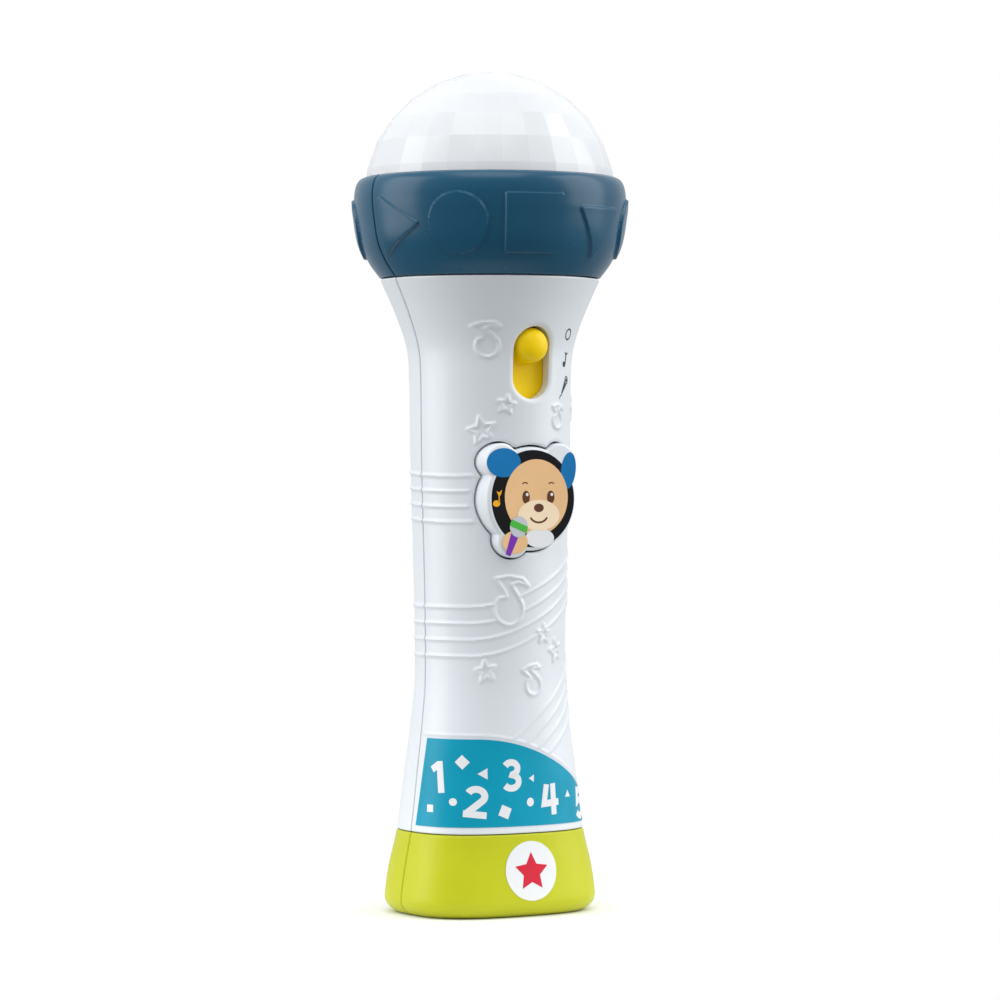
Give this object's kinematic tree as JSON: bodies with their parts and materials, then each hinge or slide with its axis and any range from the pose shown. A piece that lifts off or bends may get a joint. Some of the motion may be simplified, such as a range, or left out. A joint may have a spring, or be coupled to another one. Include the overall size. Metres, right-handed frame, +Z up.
{
  "type": "toy microphone",
  "caption": "Free-standing toy microphone with a clear faceted light dome, sliding mode knob, sprung song button, loudspeaker and a battery door on the rear.",
  "frame": {"origin": "centre of the base's underside, on the surface that the microphone stands on", "axes": "+Z up along the handle, -Y towards the front with the button, X across; the casing halves meet in the plane y = 0"},
  "size_m": [0.073, 0.0734, 0.2222],
  "materials": {
    "white_shell": "smooth moulded plastic",
    "navy_collar": "satin moulded plastic",
    "green_base": "satin moulded plastic",
    "clear_dome": "clear faceted plastic",
    "yellow_knob": "smooth moulded plastic",
    "blue_film": "printed film",
    "black_film": "printed film",
    "white_film": "printed film",
    "reflector_white": "polished white plastic",
    "led_red": "tinted clear resin",
    "led_green": "tinted clear resin",
    "led_blue": "tinted clear resin",
    "board_green": "solder mask",
    "chip_black": "moulded resin",
    "grey_rubber": "soft silicone",
    "steel": "zinc-plated steel",
    "tinned_contact": "tinned steel",
    "paper_cone": "doped paper",
    "tray_plastic": "fine texture",
    "cell_jacket": "plain wrapped jacket",
    "red_insulation": "wire insulation",
    "black_insulation": "wire insulation"
  },
  "bodies": {
    "microphone_body": {"front_shell": "white_shell", "rear_shell": "white_shell", "collar_front": "navy_collar", "collar_rear": "navy_collar", "base_front": "green_base", "base_rear": "green_base", "dome_lens": "clear_dome", "number_sticker": "blue_film", "base_badge": "white_film", "light_reflector": "reflector_white", "led_red": "led_red", "led_green": "led_green", "led_blue": "led_blue", "led_board": "board_green", "main_board": "board_green", "controller_chip": "chip_black", "rubber_dome": "grey_rubber", "mic_boot": "grey_rubber", "speaker_frame": "steel", "speaker_magnet": "steel", "shell_screw_1": "steel", "shell_screw_2": "steel", "shell_screw_3": "steel", "base_screw_left": "steel", "base_screw_right": "steel", "collar_screw_left": "steel", "collar_screw_right": "steel", "board_screw_1": "steel", "board_screw_2": "steel", "speaker_screw_1": "steel", "speaker_screw_2": "steel", "slide_switch_body": "tinned_contact", "mic_capsule": "tinned_contact", "contact_spring_left": "tinned_contact", "contact_spring_right": "tinned_contact", "contact_plate": "tinned_contact", "bridge_plate": "tinned_contact", "battery_tray": "tray_plastic", "battery_left": "cell_jacket", "battery_right": "cell_jacket", "battery_wire_red": "red_insulation", "speaker_wire_red": "red_insulation", "led_wire": "red_insulation", "battery_wire_black": "black_insulation", "speaker_wire_black": "black_insulation", "microphone_wire": "black_insulation"},
    "mode_switch": {"mode_knob": "yellow_knob", "slide_switch_lever": "chip_black"},
    "song_button": {"song_button": "white_shell", "button_sticker": "black_film"},
    "battery_door": {"battery_door": "white_shell"},
    "door_screw_carrier": {"screw_retainer": "steel"},
    "door_screw": {"door_screw": "steel"},
    "speaker_cone": {"speaker_cone": "paper_cone"}
  },
  "joints": [
    {"name": "mode_slide", "type": "slide", "parent": "microphone_body", "child": "mode_switch", "axis": [0, 0, -1], "range_m": [0, 0.009]},
    {"name": "button_press", "type": "slide", "parent": "microphone_body", "child": "song_button", "axis": [0, 1, 0], "range_m": [0, 0.0015], "stiffness_N_per_m": 800, "springref_m": -0.0005, "deforming": ["rubber_dome"]},
    {"name": "battery_door_tilt", "type": "hinge", "parent": "microphone_body", "child": "battery_door", "pos_m": [0, 0.0201, 0.0885], "axis": [1, 0, 0], "range_deg": [0, 60]},
    {"name": "door_screw_travel", "type": "slide", "parent": "battery_door", "child": "door_screw_carrier", "axis": [0, 1, 0], "range_m": [0, 0.005]},
    {"name": "door_screw_turn", "type": "hinge", "parent": "door_screw_carrier", "child": "door_screw", "pos_m": [0, 0.0158, 0.028], "axis": [0, 1, 0], "range_deg": [0, 1501]},
    {"name": "speaker_cone_travel", "type": "slide", "parent": "microphone_body", "child": "speaker_cone", "axis": [0, 1, 0], "range_m": [-0.0003, 0.0003], "stiffness_N_per_m": 1000}
  ],
  "couplings": [
    {"joint": "door_screw_turn", "follows": "door_screw_travel", "rad_per_m": 5236}
  ]
}
